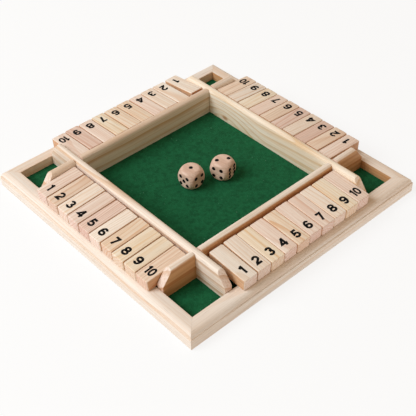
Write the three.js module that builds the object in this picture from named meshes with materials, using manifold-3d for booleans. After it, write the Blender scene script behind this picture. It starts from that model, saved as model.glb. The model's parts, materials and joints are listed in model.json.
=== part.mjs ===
// A four-player shut the box game: a square pine tray with a felt floor, four partition boards that cross
// like a noughts and crosses grid, and on each side a row of ten number tiles that flip over on a steel rod.
// Millimetres, +Z up. The origin is at the middle of the tray's underside, +X to the right of the front row.
// A player sits at -Y and reads the front row; the other three rows are the same row turned by quarter turns.

import * as THREE from "three";
import { mergeVertices } from "three/addons/utils/BufferGeometryUtils.js";
import Module from "manifold-3d";

const wasm = await Module();
wasm.setup();

// Frame of four mitred rails
const RAIL_WIDTH = 11.6;
const RAIL_HEIGHT = 13.2;
const RAIL_FLAT = 7;
const SHOULDER_ROUND = 3.2;
const COVE_RADIUS = 0.4;
const QUIRK_DEPTH = 0.3;
const BEAD_RADIUS = 1;
const FOOT_ROUND = 0.8;
const INNER_EDGE_ROUND = 0.4;
const MITRE_GAP = 0.2;

// Floor of the tray
const PANEL_THICKNESS = 4;
const PANEL_RECESS = 1.2;
const PANEL_LAP = 4;
const FELT_THICKNESS = 0.7;
const FIT_GAP = 0.2;

// Partition boards
const BOARD_THICKNESS = 6;
const BOARD_OVER_ROD = 8.3;
const BOARD_TOP_ROUND = 2.8;
const CHEEK_SLANT = 8.3;
const CHEEK_DROP = 11;

// Number tiles
const TILES_PER_ROW = 10;
const TILE_LENGTH = 34.3;
const TILE_WIDTH = 12.1;
const TILE_THICKNESS = 9.2;
const TILE_EDGE_ROUND = 0.8;
const TILE_CORNER_ROUND = 1.3;
const TILE_REST_GAP = 0.2;
const TILE_BOARD_GAP = 1.4;
const TILE_OVER_RAIL = 7.2;
const ROW_PLAY = 6;
const TILE_REACH_LENGTH = 0.35;
const TILE_RISE = 0.9;

// Rods that the tiles turn on
const ROD_RADIUS = 1.5;
const ROD_LIFT = 1.6;
const ROD_IN_TILE = 11.4;
const ROD_CHAMFER = 0.3;
const HOLE_CLEARANCE = 0.25;
const SOCKET_DEPTH = 3.5;

// Dice
const DIE_SIZE = 16;
const DIE_ROUND = 20;
const PIP_OFFSET = 3.2;
const PIP_RADIUS = 1.4;
const PIP_DEPTH = 0.4;

// One overrun serves every cut
const OVERRUN = 1;

// Sides and steps of the round forms
const BORE_SIDES = 16;
const BIT_SIDES = 8;
const BIT_STEPS = 2;
const BALL_SIDES = 28;
const BALL_RINGS = 16;
const MOULDING_STEPS = 3;
const BOARD_ROUND_STEPS = 4;
const TILE_ROUND_STEPS = 2;

// How far each tile of a row, 1 to 10, reaches out past the others and how high it rides on the rod. Each row
// reads these from a few places further along than the row before it.
const reachShares = [0.2, -0.4, 0.3, 0, 0.9, -0.6, 0.4, -0.2, 0.5, -0.3];
const riseShares = [0, 0.2, 0.05, -0.1, 0.1, 0, 0.15, -0.05, 0.1, 0];
const ROW_STEPS = 3;

// The rows, each turned a quarter more. The tiles lie loosely along their rod: the side share of the play is the
// space between tile 1 and its cheek, the next share is between tiles 1 and 2, and the others divide the rest.
const rows = [
  { side: "front", turns: 0, sideShare: 0.64, nextShare: 0.12, firstRiseShare: 0 },
  { side: "right", turns: 1, sideShare: 0.52, nextShare: 0.1, firstRiseShare: -0.1 },
  { side: "back", turns: 2, sideShare: 0.03, nextShare: 0.35, firstRiseShare: 1.3 },
  { side: "left", turns: 3, sideShare: 0.07, nextShare: 0.12, firstRiseShare: 0 },
];

// Where the dice lie, as shares of the distance from the middle to a partition board, how far each is turned
// about the vertical in degrees, and the pips that its faces show
const dice = [
  { name: "die_one", xShare: -0.1276, yShare: 0.0787, yaw: 6, left: 5, front: 4, top: 1 },
  { name: "die_two", xShare: 0.2457, yShare: -0.063, yaw: 16.4, left: 4, front: 6, top: 2 },
];

// Distances from the middle of the tray: a row of tiles and its play fit between two boards, and going outward
// come the board, the gap to the tiles, the rod, the inner face of the rail and its outer face
const cheekInner = (TILES_PER_ROW * TILE_WIDTH + ROW_PLAY) / 2;
const boardOffset = cheekInner + BOARD_THICKNESS / 2;
const rodFromCentre = cheekInner + BOARD_THICKNESS + TILE_BOARD_GAP + ROD_IN_TILE;
const inside = rodFromCentre + TILE_LENGTH - ROD_IN_TILE - TILE_OVER_RAIL;
const half = inside + RAIL_WIDTH;
const railFlatEdge = inside + RAIL_FLAT;
const boardEnd = inside - FIT_GAP;
const cheekFlat = boardEnd - CHEEK_SLANT;

// Heights above the table
const panelTop = PANEL_RECESS + PANEL_THICKNESS;
const floorTop = panelTop + FELT_THICKNESS;
const rodHeight = RAIL_HEIGHT + TILE_THICKNESS / 2 + ROD_LIFT;
const boardTop = rodHeight + BOARD_OVER_ROD;
const cheekTip = boardTop - CHEEK_DROP;
const lapHeight = (floorTop + boardTop) / 2;

const quarter = Math.PI / 2;

const materials = {
  pine: () => new THREE.MeshStandardMaterial({ color: 0xe6cba6, roughness: 0.55, metalness: 0 }),
  tile: () => new THREE.MeshStandardMaterial({ color: 0xecd3bb, roughness: 0.5, metalness: 0 }),
  panel: () => new THREE.MeshStandardMaterial({ color: 0xc9a877, roughness: 0.7, metalness: 0 }),
  felt: () => new THREE.MeshStandardMaterial({ color: 0x1c5c38, roughness: 0.95, metalness: 0 }),
  steel: () => new THREE.MeshStandardMaterial({ color: 0xb9bcc0, roughness: 0.3, metalness: 1 }),
  die: () => new THREE.MeshStandardMaterial({ color: 0xcfa98b, roughness: 0.45, metalness: 0 }),
};

const game = new THREE.Group();

function addPiece(parent, name, geometry, material) {
  const mesh = new THREE.Mesh(geometry, material());
  mesh.name = name;
  parent.add(mesh);
  return mesh;
}

// Solids for the cuts

function toSolid(geometry) {
  const bare = geometry.clone();
  for (const name of Object.keys(bare.attributes)) {
    if (name !== "position") bare.deleteAttribute(name);
  }
  const merged = mergeVertices(bare, 1e-5);
  return new wasm.Manifold(new wasm.Mesh({
    numProp: 3,
    vertProperties: new Float32Array(merged.attributes.position.array),
    triVerts: new Uint32Array(merged.index.array),
  }));
}

function toGeometry(solid) {
  const mesh = solid.getMesh();
  const geometry = new THREE.BufferGeometry();
  geometry.setAttribute("position", new THREE.BufferAttribute(mesh.vertProperties, mesh.numProp));
  geometry.setIndex(new THREE.BufferAttribute(mesh.triVerts, 1));
  geometry.computeVertexNormals();
  return geometry;
}

function boxBetween(low, high) {
  const size = high.map((value, axis) => value - low[axis]);
  const middle = high.map((value, axis) => (value + low[axis]) / 2);
  return toSolid(new THREE.BoxGeometry(...size).translate(...middle));
}

function cylinderAlongX(radius, length, sides) {
  return toSolid(new THREE.CylinderGeometry(radius, radius, length, sides).rotateZ(quarter));
}

// Base panel and felt

function buildFloor() {
  const panelHalf = inside + PANEL_LAP - FIT_GAP;
  const panel = new THREE.BoxGeometry(2 * panelHalf, 2 * panelHalf, PANEL_THICKNESS);
  panel.translate(0, 0, PANEL_RECESS + PANEL_THICKNESS / 2);
  addPiece(game, "base_panel", panel, materials.panel);
  const felt = new THREE.BoxGeometry(2 * boardEnd, 2 * boardEnd, FELT_THICKNESS);
  felt.translate(0, 0, panelTop + FELT_THICKNESS / 2);
  addPiece(game, "felt_floor", felt, materials.felt);
}

// Moulded rails. The section is drawn as distance from the tray's centre against height.

function railSection() {
  const coveTop = RAIL_HEIGHT - SHOULDER_ROUND;
  const coveFoot = coveTop - COVE_RADIUS;
  const shoulderReach = railFlatEdge + SHOULDER_ROUND;
  const coveReach = shoulderReach + COVE_RADIUS;
  const beadTop = coveFoot - QUIRK_DEPTH;
  const rebateTop = panelTop + FIT_GAP;
  const section = new THREE.Shape();
  section.moveTo(inside, rebateTop);
  section.lineTo(inside + PANEL_LAP, rebateTop);
  section.lineTo(inside + PANEL_LAP, 0);
  section.lineTo(half - FOOT_ROUND, 0);
  section.absarc(half - FOOT_ROUND, FOOT_ROUND, FOOT_ROUND, -quarter, 0, false);
  section.absarc(half - BEAD_RADIUS, beadTop - BEAD_RADIUS, BEAD_RADIUS, 0, quarter, false);
  section.lineTo(coveReach, coveFoot);
  section.absarc(coveReach, coveTop, COVE_RADIUS, -quarter, -2 * quarter, true);
  section.absarc(railFlatEdge, coveTop, SHOULDER_ROUND, 0, quarter, false);
  section.absarc(inside + INNER_EDGE_ROUND, RAIL_HEIGHT - INNER_EDGE_ROUND, INNER_EDGE_ROUND, quarter,
    2 * quarter, false);
  return section;
}

function buildRails() {
  const section = railSection();
  const outline = section.extractPoints(MOULDING_STEPS).shape;
  outline.pop();
  const faces = THREE.ShapeUtils.triangulateShape(outline, []);
  const mitreInset = MITRE_GAP * Math.SQRT1_2;
  const positions = [];
  for (const end of [-1, 1]) {
    for (const point of outline) positions.push(end * (point.x - mitreInset), -point.x, point.y);
  }
  const count = outline.length;
  const index = [];
  for (const [a, b, c] of faces) index.push(a, b, c, count + a, count + c, count + b);
  for (let i = 0; i < count; i++) {
    const next = (i + 1) % count;
    index.push(i, count + i, next, next, count + i, count + next);
  }
  for (const row of rows) {
    const rail = new THREE.BufferGeometry();
    rail.setAttribute("position", new THREE.Float32BufferAttribute(positions, 3));
    rail.setIndex(index);
    rail.computeVertexNormals();
    addPiece(game, `rail_${row.side}`, rail, materials.pine).rotation.z = row.turns * quarter;
  }
}

// Partition boards. Those along Y run unbroken over the top of those along X at the four half-laps. Each is a
// plank with a rounded top whose ends are sawn on the slant.

function boardBlank() {
  const side = BOARD_THICKNESS / 2;
  const shoulder = boardTop - BOARD_TOP_ROUND;
  const section = new THREE.Shape();
  section.moveTo(-side, floorTop);
  section.lineTo(side, floorTop);
  section.absarc(side - BOARD_TOP_ROUND, shoulder, BOARD_TOP_ROUND, 0, quarter, false);
  section.absarc(BOARD_TOP_ROUND - side, shoulder, BOARD_TOP_ROUND, quarter, 2 * quarter, false);
  const plank = new THREE.ExtrudeGeometry(section, {
    depth: 2 * (boardEnd + OVERRUN),
    bevelEnabled: false,
    curveSegments: BOARD_ROUND_STEPS,
  });
  plank.rotateX(quarter).rotateZ(quarter).translate(-boardEnd - OVERRUN, 0, 0);
  const cutTop = cheekFlat - OVERRUN * CHEEK_SLANT / CHEEK_DROP;
  const outline = new THREE.Shape();
  outline.moveTo(-boardEnd, floorTop - OVERRUN);
  outline.lineTo(boardEnd, floorTop - OVERRUN);
  outline.lineTo(boardEnd, cheekTip);
  outline.lineTo(cutTop, boardTop + OVERRUN);
  outline.lineTo(-cutTop, boardTop + OVERRUN);
  outline.lineTo(-boardEnd, cheekTip);
  const sawn = new THREE.ExtrudeGeometry(outline, { depth: BOARD_THICKNESS + 2 * OVERRUN, bevelEnabled: false });
  sawn.rotateX(quarter).translate(0, BOARD_THICKNESS / 2 + OVERRUN, 0);
  return toSolid(plank).intersect(toSolid(sawn));
}

function lapNotches(bottom, top) {
  const reach = BOARD_THICKNESS / 2 + FIT_GAP;
  const notches = [-boardOffset, boardOffset].map((x) => boxBetween(
    [x - reach, -BOARD_THICKNESS, bottom],
    [x + reach, BOARD_THICKNESS, top],
  ));
  return notches[0].add(notches[1]);
}

// A board's inner face, as it is drawn along X, looks to -Y on both boards of a pair: the board at +Y is drawn
// once and its mate is the same board turned half round.
function rodSockets() {
  const radius = ROD_RADIUS + HOLE_CLEARANCE;
  const length = SOCKET_DEPTH + OVERRUN;
  const middle = -BOARD_THICKNESS / 2 + (SOCKET_DEPTH - OVERRUN) / 2;
  const sockets = [-rodFromCentre, rodFromCentre].map((x) => {
    const bore = new THREE.CylinderGeometry(radius, radius, length, BORE_SIDES);
    return toSolid(bore.translate(x, middle, rodHeight));
  });
  return sockets[0].add(sockets[1]);
}

function buildBoards() {
  const blank = boardBlank().subtract(rodSockets());
  const under = toGeometry(blank.subtract(lapNotches(lapHeight - FIT_GAP / 2, boardTop + OVERRUN)));
  const over = toGeometry(blank.subtract(lapNotches(floorTop - OVERRUN, lapHeight + FIT_GAP / 2)));
  const boards = [
    { side: "back", shape: under, turns: 0 },
    { side: "left", shape: over, turns: 1 },
    { side: "front", shape: under, turns: 2 },
    { side: "right", shape: over, turns: 3 },
  ];
  for (const board of boards) {
    const turned = new THREE.Group();
    turned.rotation.z = board.turns * quarter;
    addPiece(turned, `board_${board.side}`, board.shape.clone(), materials.pine).position.y = boardOffset;
    game.add(turned);
  }
}

// Tiles and rods, one turned group for each row

function tileShape() {
  const corner = TILE_CORNER_ROUND - TILE_EDGE_ROUND;
  const inner = TILE_EDGE_ROUND;
  const along = TILE_LENGTH / 2 - inner;
  const across = TILE_WIDTH / 2 - inner;
  const plan = new THREE.Shape();
  plan.moveTo(-across + corner, -along);
  plan.absarc(across - corner, -along + corner, corner, -quarter, 0, false);
  plan.absarc(across - corner, along - corner, corner, 0, quarter, false);
  plan.absarc(-across + corner, along - corner, corner, quarter, 2 * quarter, false);
  plan.absarc(-across + corner, -along + corner, corner, 2 * quarter, 3 * quarter, false);
  const block = new THREE.ExtrudeGeometry(plan, {
    depth: TILE_THICKNESS - 2 * TILE_EDGE_ROUND,
    bevelThickness: TILE_EDGE_ROUND,
    bevelSize: TILE_EDGE_ROUND,
    bevelSegments: TILE_ROUND_STEPS,
    curveSegments: 1,
  });
  return toSolid(block.translate(0, 0, -TILE_THICKNESS / 2 + TILE_EDGE_ROUND));
}

// The tile is drawn with its rod hole on the origin and its numbered end toward -Y. It is drilled nearer its
// underside by the rise, and nearer its inner end by the reach, so it rides that much higher and further out.
function drilledTile(block, reach, rise) {
  const place = block.translate([0, ROD_IN_TILE - TILE_LENGTH / 2 - reach, rise]);
  const hole = cylinderAlongX(ROD_RADIUS + HOLE_CLEARANCE, TILE_WIDTH + 2 * OVERRUN, BORE_SIDES);
  return toGeometry(place.subtract(hole));
}

// A tile lies with the rounded lower edge of its numbered end on the rail's flat top, so it slopes outward.
function restSlope(reach, rise) {
  const out = TILE_LENGTH - ROD_IN_TILE + reach - TILE_EDGE_ROUND;
  const under = TILE_THICKNESS / 2 - rise - TILE_EDGE_ROUND;
  const down = rodHeight - RAIL_HEIGHT - TILE_REST_GAP - TILE_EDGE_ROUND;
  return Math.asin(down / Math.hypot(out, under)) - Math.atan2(under, out);
}

function buildRows() {
  const block = tileShape();
  const rodHalf = cheekInner + SOCKET_DEPTH - FIT_GAP;
  for (const row of rows) {
    const turned = new THREE.Group();
    turned.rotation.z = row.turns * quarter;
    game.add(turned);
    const profile = [
      new THREE.Vector2(0, -rodHalf),
      new THREE.Vector2(ROD_RADIUS - ROD_CHAMFER, -rodHalf),
      new THREE.Vector2(ROD_RADIUS, -rodHalf + ROD_CHAMFER),
      new THREE.Vector2(ROD_RADIUS, rodHalf - ROD_CHAMFER),
      new THREE.Vector2(ROD_RADIUS - ROD_CHAMFER, rodHalf),
      new THREE.Vector2(0, rodHalf),
    ];
    const rod = new THREE.LatheGeometry(profile, BORE_SIDES).rotateZ(quarter);
    addPiece(turned, `rod_${row.side}`, rod, materials.steel).position.set(0, -rodFromCentre, rodHeight);
    const shareLeft = (1 - row.sideShare - row.nextShare) / (TILES_PER_ROW - 1);
    for (let number = 1; number <= TILES_PER_ROW; number++) {
      const place = (number - 1 + ROW_STEPS * row.turns) % TILES_PER_ROW;
      const reach = TILE_REACH_LENGTH * reachShares[place];
      const rise = TILE_RISE * (number === 1 ? row.firstRiseShare : riseShares[place]);
      const tile = addPiece(
        turned,
        `tile_${row.side}_${String(number).padStart(2, "0")}`,
        drilledTile(block, reach, rise),
        materials.tile,
      );
      const shareBefore = row.sideShare + (number === 1 ? 0 : row.nextShare + (number - 2) * shareLeft);
      const x = -cheekInner + ROW_PLAY * shareBefore + (number - 0.5) * TILE_WIDTH;
      tile.position.set(x, -rodFromCentre, rodHeight);
      tile.rotation.x = restSlope(reach, rise);
    }
  }
}

// Dice: a cube and a sphere in common, with shallow round pips drilled in the faces

function pipPlaces(count) {
  const s = PIP_OFFSET;
  const corners = [[-s, s], [s, -s], [-s, -s], [s, s]];
  const places = count > 3 ? corners : corners.slice(0, 2 * Math.floor(count / 2));
  if (count % 2 === 1) return [...places, [0, 0]];
  return count === 6 ? [...places, [-s, 0], [s, 0]] : places;
}

// The drill bit's round nose, pointing down, with its widest ring at the height of the face it cuts
function drillBit() {
  const profile = [];
  for (let i = 0; i <= BIT_STEPS; i++) {
    const angle = (i / BIT_STEPS) * quarter;
    profile.push(new THREE.Vector2(PIP_RADIUS * Math.sin(angle), -PIP_DEPTH * Math.cos(angle)));
  }
  profile.push(new THREE.Vector2(PIP_RADIUS, OVERRUN), new THREE.Vector2(0, OVERRUN));
  profile[0].x = 0;
  return new THREE.LatheGeometry(profile, BIT_SIDES).rotateX(quarter);
}

function buildDice() {
  const h = DIE_SIZE / 2;
  const ball = toSolid(new THREE.SphereGeometry(DIE_ROUND / 2, BALL_SIDES, BALL_RINGS));
  const blank = ball.intersect(boxBetween([-h, -h, -h], [h, h, h]));
  for (const die of dice) {
    const faces = [
      { pips: die.top, turn: new THREE.Euler(0, 0, 0) },
      { pips: 7 - die.top, turn: new THREE.Euler(2 * quarter, 0, 0) },
      { pips: die.front, turn: new THREE.Euler(quarter, 0, 0) },
      { pips: 7 - die.front, turn: new THREE.Euler(-quarter, 0, 0) },
      { pips: die.left, turn: new THREE.Euler(0, -quarter, 0) },
      { pips: 7 - die.left, turn: new THREE.Euler(0, quarter, 0) },
    ];
    let solid = blank;
    for (const face of faces) {
      for (const [across, up] of pipPlaces(face.pips)) {
        const bit = drillBit().translate(across, up, h);
        const turned = bit.applyMatrix4(new THREE.Matrix4().makeRotationFromEuler(face.turn));
        solid = solid.subtract(toSolid(turned));
      }
    }
    const mesh = addPiece(game, die.name, toGeometry(solid), materials.die);
    mesh.position.set(cheekInner * die.xShare, cheekInner * die.yShare, floorTop + h);
    mesh.rotation.z = THREE.MathUtils.degToRad(die.yaw);
  }
}

buildFloor();
buildRails();
buildBoards();
buildRows();
buildDice();

export default game;
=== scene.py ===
"""A four-player shut the box game in pale pine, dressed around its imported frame.

Everything is in metres, +Z up, with the tray's middle at the origin. The front row faces -Y.
"""

import json

import bmesh
import bpy
import numpy as np
from mathutils import Matrix, Vector


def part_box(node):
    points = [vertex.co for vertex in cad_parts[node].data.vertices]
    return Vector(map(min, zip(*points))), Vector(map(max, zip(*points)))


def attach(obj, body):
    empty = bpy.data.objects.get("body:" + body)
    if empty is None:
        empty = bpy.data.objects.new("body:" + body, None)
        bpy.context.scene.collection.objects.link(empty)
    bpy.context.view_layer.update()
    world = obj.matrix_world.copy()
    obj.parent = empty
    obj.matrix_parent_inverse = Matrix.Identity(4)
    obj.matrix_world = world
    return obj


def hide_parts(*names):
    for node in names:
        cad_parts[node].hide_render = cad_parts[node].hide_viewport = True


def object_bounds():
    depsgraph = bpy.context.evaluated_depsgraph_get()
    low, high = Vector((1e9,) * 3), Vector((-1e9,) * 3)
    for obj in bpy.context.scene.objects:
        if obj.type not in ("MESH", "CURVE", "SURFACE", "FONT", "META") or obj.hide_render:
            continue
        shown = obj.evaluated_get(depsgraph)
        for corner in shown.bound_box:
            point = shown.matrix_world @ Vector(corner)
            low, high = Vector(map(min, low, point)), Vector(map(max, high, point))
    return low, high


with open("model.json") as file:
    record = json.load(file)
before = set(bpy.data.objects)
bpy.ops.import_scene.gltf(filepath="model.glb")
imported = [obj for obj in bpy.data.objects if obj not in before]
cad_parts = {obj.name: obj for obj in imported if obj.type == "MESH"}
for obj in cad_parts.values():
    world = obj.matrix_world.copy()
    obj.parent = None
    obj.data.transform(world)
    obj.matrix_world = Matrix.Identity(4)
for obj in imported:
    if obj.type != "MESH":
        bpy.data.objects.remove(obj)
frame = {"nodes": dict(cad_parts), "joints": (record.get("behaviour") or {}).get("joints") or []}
cad_low, cad_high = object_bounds()

# The view: the game is seen from above its front corner through a long lens, a little turned about the
# line of sight, as in the photograph.

VIEW_TARGET = (-0.01415, -0.0198, 0.0017)
VIEW_DISTANCE = 0.635
VIEW_AZIMUTH = -41.04
VIEW_ELEVATION = 42.13
VIEW_ROLL = -1.72
LENS = 74.85
SENSOR_WIDTH = 36.0
NEAREST_SEEN = 0.01


def aim_camera(camera, target, distance, azimuth, elevation, roll):
    """Back is (sin a cos e, -cos a cos e, sin e) for azimuth a and elevation e. The camera is at the target
    plus back times the distance, and its side and up axes are turned about back by the roll."""
    a, e, r = np.radians((azimuth, elevation, roll))
    back = Vector((np.sin(a) * np.cos(e), -np.cos(a) * np.cos(e), np.sin(e)))
    level = Vector((np.cos(a), np.sin(a), 0.0))
    rise = back.cross(level)
    side = level * np.cos(r) + rise * np.sin(r)
    up = rise * np.cos(r) - level * np.sin(r)
    turned = Matrix((side, up, back)).transposed().to_4x4()
    camera.matrix_world = Matrix.Translation(Vector(target) + back * distance) @ turned


view_camera = bpy.data.objects.new("view_camera", bpy.data.cameras.new("view_camera"))
bpy.context.scene.collection.objects.link(view_camera)
view_camera.data.lens = LENS
view_camera.data.sensor_width = SENSOR_WIDTH
view_camera.data.clip_start = NEAREST_SEEN
aim_camera(view_camera, VIEW_TARGET, VIEW_DISTANCE, VIEW_AZIMUTH, VIEW_ELEVATION, VIEW_ROLL)
bpy.context.scene.camera = view_camera
bpy.context.scene.view_settings.view_transform = "Standard"

# The room: a white table, a white surround, one broad lamp high at the back left and a low strip of light in
# front. The surround gives a warm soft light but looks white. The table glows, so that it looks white too and
# lights the game's sides from below, more so in front of the game than behind it.

SURROUND_LIGHT = (0.42, 0.325, 0.225)
LAMP_PLACE = (-1.33, 0.64, 1.40)
LAMP_SIZE = (1.1, 1.1)
LAMP_POWER = 33.6
LAMP_COLOUR = (0.93, 1.0, 1.07)
STRIP_PLACE = (0.1, -0.8, 0.045)
STRIP_SIZE = (0.9, 0.06)
STRIP_POWER = 0.3
TABLE_WIDTH = 6.0
TABLE_PAINT = (0.92, 0.92, 0.91, 1.0)
# The glow's share of the table as seen and as light on the game
TABLE_GLOW = 0.82
TABLE_BOUNCE = 0.6
# As light on the game it grows toward the front from one strength to another, between two distances
BOUNCE_STRENGTH = 0.92
FRONT_BOUNCE_STRENGTH = 1.35
FRONT_WAY = (0.5, -0.87, 0.0)
FRONT_STARTS = 0.06
FRONT_FULL = 0.14
WHITE = (1.0, 1.0, 1.0, 1.0)


def put(tree, kind, feeds=(), **settings):
    """Adds a node with its settings, and feeds its inputs, by name or place, from values or sockets."""
    made = tree.nodes.new(kind)
    for key, value in settings.items():
        setattr(made, key, value)
    for key, value in dict(feeds).items():
        if isinstance(value, bpy.types.NodeSocket):
            tree.links.new(value, made.inputs[key])
        else:
            made.inputs[key].default_value = value
    return made


def reckon(tree, operation, *values):
    """A sum on single numbers. Gives the socket that holds the result."""
    return put(tree, "ShaderNodeMath", enumerate(values), operation=operation).outputs[0]


def reckon_vectors(tree, operation, *values):
    """A sum on vectors. Its result is a vector too, except that a length or a dot product is a number."""
    made = put(tree, "ShaderNodeVectorMath", enumerate(values), operation=operation)
    return made.outputs["Value" if operation in ("LENGTH", "DOT_PRODUCT") else "Vector"]


def ramp(tree, value, low, high, start=0.0, end=1.0):
    """A smooth step: start below low, end above high."""
    feeds = {"Value": value, "From Min": low, "From Max": high, "To Min": start, "To Max": end}
    return put(tree, "ShaderNodeMapRange", feeds, interpolation_type="SMOOTHSTEP").outputs[0]


def new_material(name):
    """A material with nothing but its output. Gives it, its node tree and the socket for its surface."""
    material = bpy.data.materials.new(name)
    material.use_nodes = True
    material.node_tree.nodes.clear()
    output = put(material.node_tree, "ShaderNodeOutputMaterial")
    return material, material.node_tree, output.inputs["Surface"]


def seen_rays(tree):
    """One for a ray that the eye sees directly, in gloss or through glass, and nought for any other."""
    path = put(tree, "ShaderNodeLightPath").outputs
    in_gloss = reckon(tree, "MAXIMUM", path["Is Glossy Ray"], path["Is Transmission Ray"])
    return reckon(tree, "MAXIMUM", path["Is Camera Ray"], in_gloss)


def light_surround(glow):
    """The world gives soft light of the glow's colour and looks white."""
    world = bpy.data.worlds.new("white surround")
    bpy.context.scene.world = world
    world.use_nodes = True
    tree = world.node_tree
    tree.nodes.clear()
    light = put(tree, "ShaderNodeBackground", {"Color": (*glow, 1.0), "Strength": 1.0})
    white = put(tree, "ShaderNodeBackground", {"Color": WHITE, "Strength": 1.0})
    mixed = put(tree, "ShaderNodeMixShader", {0: seen_rays(tree), 1: light.outputs[0], 2: white.outputs[0]})
    put(tree, "ShaderNodeOutputWorld", {"Surface": mixed.outputs[0]})


def hang_lamp(name, place, size, power, colour=(1.0, 1.0, 1.0)):
    """An oblong lamp at that place which looks at the middle of the tray."""
    lamp = bpy.data.objects.new(name, bpy.data.lights.new(name, "AREA"))
    lamp.data.shape = "RECTANGLE"
    lamp.data.size, lamp.data.size_y = size
    lamp.data.energy = power
    lamp.data.color = colour
    turn = Vector(place).to_track_quat("Z", "Y").to_matrix().to_4x4()
    lamp.matrix_world = Matrix.Translation(place) @ turn
    bpy.context.scene.collection.objects.link(lamp)


def white_table():
    """A white matt top mixed with a glow. The glow's strength is one to the eye, and the bounce as light on
    the game, which is stronger in front."""
    material, tree, surface = new_material("white table")
    matt = put(tree, "ShaderNodeBsdfDiffuse", {"Color": TABLE_PAINT})
    seen = seen_rays(tree)
    place = put(tree, "ShaderNodeTexCoord").outputs["Object"]
    forward = reckon_vectors(tree, "DOT_PRODUCT", place, FRONT_WAY)
    bounce = ramp(tree, forward, FRONT_STARTS, FRONT_FULL, BOUNCE_STRENGTH, FRONT_BOUNCE_STRENGTH)
    lack = reckon(tree, "SUBTRACT", 1.0, bounce)
    strength = reckon(tree, "ADD", bounce, reckon(tree, "MULTIPLY", seen, lack))
    glow = put(tree, "ShaderNodeEmission", {"Color": WHITE, "Strength": strength})
    share = reckon(tree, "MULTIPLY_ADD", seen, TABLE_GLOW - TABLE_BOUNCE, TABLE_BOUNCE)
    mixed = put(tree, "ShaderNodeMixShader", {0: share, 1: matt.outputs[0], 2: glow.outputs[0]})
    tree.links.new(mixed.outputs[0], surface)
    return material


light_surround(SURROUND_LIGHT)
hang_lamp("back_lamp", LAMP_PLACE, LAMP_SIZE, LAMP_POWER, LAMP_COLOUR)
hang_lamp("front_strip", STRIP_PLACE, STRIP_SIZE, STRIP_POWER)
half_table = TABLE_WIDTH / 2
table_mesh = bpy.data.meshes.new("table_top")
table_mesh.from_pydata(
    [(x * half_table, y * half_table, cad_low.z) for x, y in ((-1, -1), (1, -1), (1, 1), (-1, 1))],
    [],
    [(0, 1, 2, 3)],
)
table_top = bpy.data.objects.new("table_top", table_mesh)
table_mesh.materials.append(white_table())
bpy.context.scene.collection.objects.link(table_top)

# The base panel: thin birch board let into a rebate under the rails. Only its underside is seen, so it keeps
# its frame piece and gets fine straight grain.

BIRCH_TAN = (0.62, 0.45, 0.27, 1)
BIRCH_PALE = (0.72, 0.55, 0.36, 1)
BIRCH_CLOUD = (0.55, 0.38, 0.22, 1)


def stretched_noise(tree, place, scales, detail=2.0, rough=0.5):
    """Noise from nought to one whose cells are one over the scales long, in metres, on each axis."""
    spread = reckon_vectors(tree, "MULTIPLY", place, scales)
    feeds = {"Vector": spread, "Scale": 1.0, "Detail": detail, "Roughness": rough}
    return put(tree, "ShaderNodeTexNoise", feeds).outputs["Fac"]


def mix_colours(tree, share, first, second, way="MIX"):
    """The second colour laid over the first by its share, mixed or multiplied as the way says."""
    feeds = {0: share, 6: first, 7: second}
    return put(tree, "ShaderNodeMix", feeds, data_type="RGBA", blend_type=way).outputs[2]


def lay_finish(tree, surface, colour, roughness, height, relief, depth, others=()):
    """Puts a shader on the surface, with the height as a bump, and the others as more inputs by name."""
    bump = put(tree, "ShaderNodeBump", {"Height": height, "Strength": relief, "Distance": depth})
    feeds = {"Base Color": colour, "Roughness": roughness, "Normal": bump.outputs[0], **dict(others)}
    tree.links.new(put(tree, "ShaderNodeBsdfPrincipled", feeds).outputs[0], surface)


def panel_board():
    """Birch board: long fine streaks on a pale tan ground."""
    material, tree, surface = new_material("birch panel")
    place = put(tree, "ShaderNodeTexCoord").outputs["Object"]
    streak = stretched_noise(tree, place, (30.0, 1200.0, 300.0), 4.0)
    cloud = stretched_noise(tree, place, (12.0, 60.0, 12.0))
    colour = mix_colours(tree, ramp(tree, streak, 0.35, 0.7), BIRCH_TAN, BIRCH_PALE)
    colour = mix_colours(tree, ramp(tree, cloud, 0.3, 0.8, 0.0, 0.35), colour, BIRCH_CLOUD)
    roughness = ramp(tree, streak, 0.2, 0.8, 0.6, 0.72)
    lay_finish(tree, surface, colour, roughness, streak, relief=0.25, depth=0.0001)
    return material


def dress(node, material):
    """Gives a frame piece that stays its finished material."""
    for place in frame["nodes"][node].material_slots:
        place.material = material


dress("base_panel", panel_board())

# The felt: one square of green felt glued over the whole floor of the tray, under the boards. It is pressed
# wool, so it has no weave, only fine matted fibres and a slightly uneven top.

FELT_DIP = 0.00006
FELT_POINTS = 150
FELT_WAVES = 11
# Each wave is finer than the last, in radians to a metre, and is turned and shifted from it, in radians
SLOWEST_WAVE = 90
WAVE_STEP = 37
WAVE_TURN = 2.4
WAVE_SHIFT = 1.7
FELT_DEEP = (0.003, 0.058, 0.020, 1)
FELT_GREEN = (0.008, 0.125, 0.046, 1)
FELT_FIBRE = (0.016, 0.18, 0.07, 1)
FELT_PATCH = (0.010, 0.14, 0.052, 1)
FELT_LINT = (0.16, 0.38, 0.24, 1)
FELT_BLOOM = (0.25, 0.6, 0.35, 1.0)
# A mesh looks sharp over an edge that turns by more than this, in degrees, unless its maker says otherwise
CREASE = 32.0


def grid_faces(rows, columns, joined=False):
    """The squares of a grid of points kept row by row. In a joined grid the last column meets the first."""
    across = columns if joined else columns - 1
    r, c = np.meshgrid(np.arange(rows - 1), np.arange(across), indexing="ij")
    near = r * columns + c
    far = r * columns + (c + 1) % columns
    return np.stack([near, far, far + columns, near + columns], axis=-1).reshape(-1, 4)


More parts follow.
